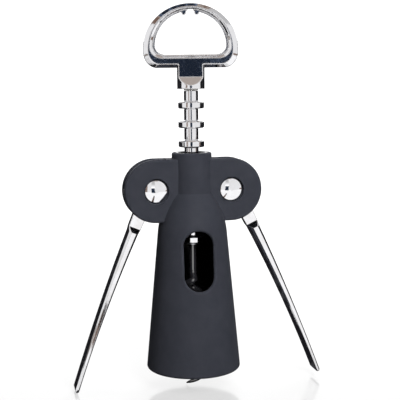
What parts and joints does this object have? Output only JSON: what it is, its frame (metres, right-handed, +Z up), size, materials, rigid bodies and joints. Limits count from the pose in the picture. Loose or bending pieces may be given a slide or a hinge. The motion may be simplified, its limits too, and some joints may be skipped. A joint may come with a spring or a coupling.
{
  "type": "lever corkscrew",
  "caption": "Lever corkscrew with a tapered bell, forked ears, swinging geared levers, a ringed rack and a finger-ring handle with a wire worm.",
  "frame": {"origin": "centre of the bell's rim, on the rim's plane", "axes": "+Z up the spindle towards the handle, -Y out of the bell's window, the two lever pivots lie along X"},
  "size_m": [0.1183, 0.0442, 0.1784],
  "materials": {
    "chrome": "polished",
    "body_coating": "soft-touch",
    "guide_plastic": "gloss",
    "bush_plastic": "moulded",
    "worm_coating": "low-friction coating",
    "steel": "plain"
  },
  "bodies": {
    "body": {"body_shell": "body_coating", "bottle_guide": "guide_plastic", "collar_bush": "bush_plastic", "left_pivot_pin": "chrome", "left_pivot_cap": "chrome", "left_side_washers": "bush_plastic", "right_pivot_pin": "chrome", "right_pivot_cap": "chrome", "right_side_washers": "bush_plastic"},
    "rack": {"rack_sleeve": "chrome", "rack_bushes": "bush_plastic"},
    "spindle": {"handle_ring": "chrome", "shank_pin": "steel", "worm": "worm_coating", "thrust_washer": "bush_plastic", "retaining_clip": "steel"},
    "left_lever_body": {"left_lever": "chrome", "left_lever_bush": "steel"},
    "right_lever_body": {"right_lever": "chrome", "right_lever_bush": "steel"}
  },
  "joints": [
    {"name": "left_lever_swing", "type": "hinge", "parent": "body", "child": "left_lever_body", "pos_m": [-0.01765, 0, 0.0847], "axis": [0, 1, 0], "range_deg": [-14, 130]},
    {"name": "right_lever_swing", "type": "hinge", "parent": "body", "child": "right_lever_body", "pos_m": [0.01765, 0, 0.0847], "axis": [0, -1, 0], "range_deg": [-14, 130]},
    {"name": "rack_slide", "type": "slide", "parent": "body", "child": "rack", "axis": [0, 0, 1], "range_m": [-0.029, 0.0032]},
    {"name": "spindle_spin", "type": "hinge", "parent": "rack", "child": "spindle", "pos_m": [0, 0, 0.131], "axis": [0, 0, 1], "continuous": true}
  ],
  "couplings": [
    {"joint": "right_lever_swing", "follows": "left_lever_swing", "ratio": 1},
    {"joint": "rack_slide", "follows": "left_lever_swing", "m_per_rad": -0.012748}
  ]
}
